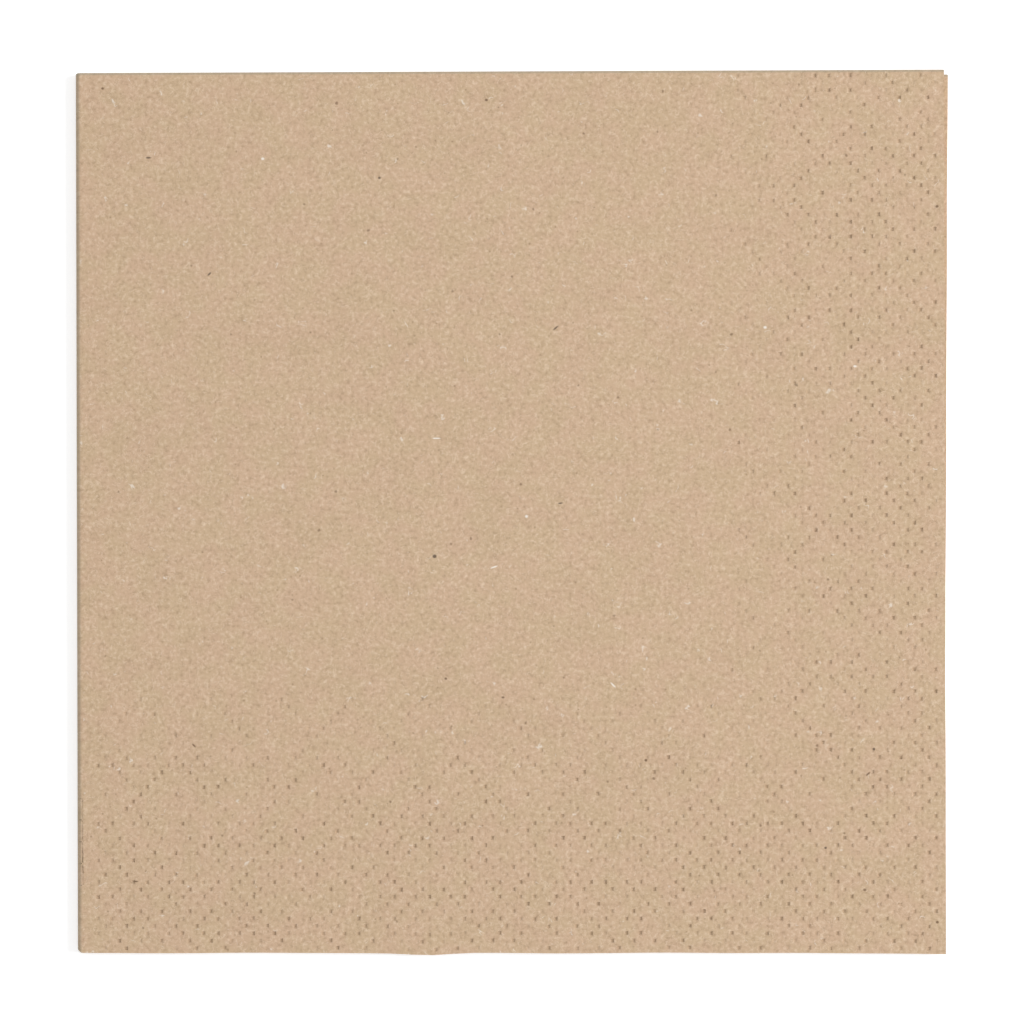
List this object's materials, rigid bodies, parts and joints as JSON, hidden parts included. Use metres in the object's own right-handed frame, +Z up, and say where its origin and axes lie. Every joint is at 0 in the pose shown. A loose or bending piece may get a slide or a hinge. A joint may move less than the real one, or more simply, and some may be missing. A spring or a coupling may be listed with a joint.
{
  "type": "paper napkin",
  "caption": "Flat square paper napkin in unbleached brown tissue, folded into quarters, with a pin-embossed border along its cut edges.",
  "frame": {"origin": "middle of the resting face, at the bottom centre of the object's box", "axes": "+Z up off the resting face, +Y towards the first fold, +X from the spine towards the cut edge"},
  "size_m": [0.1204, 0.1226, 0.0013],
  "materials": {
    "tissue": "matt unbleached two-ply tissue with recycled fibre flecks and a border of small embossed pits"
  },
  "bodies": {
    "root": {"folded_sheet": "tissue"}
  },
  "joints": []
}
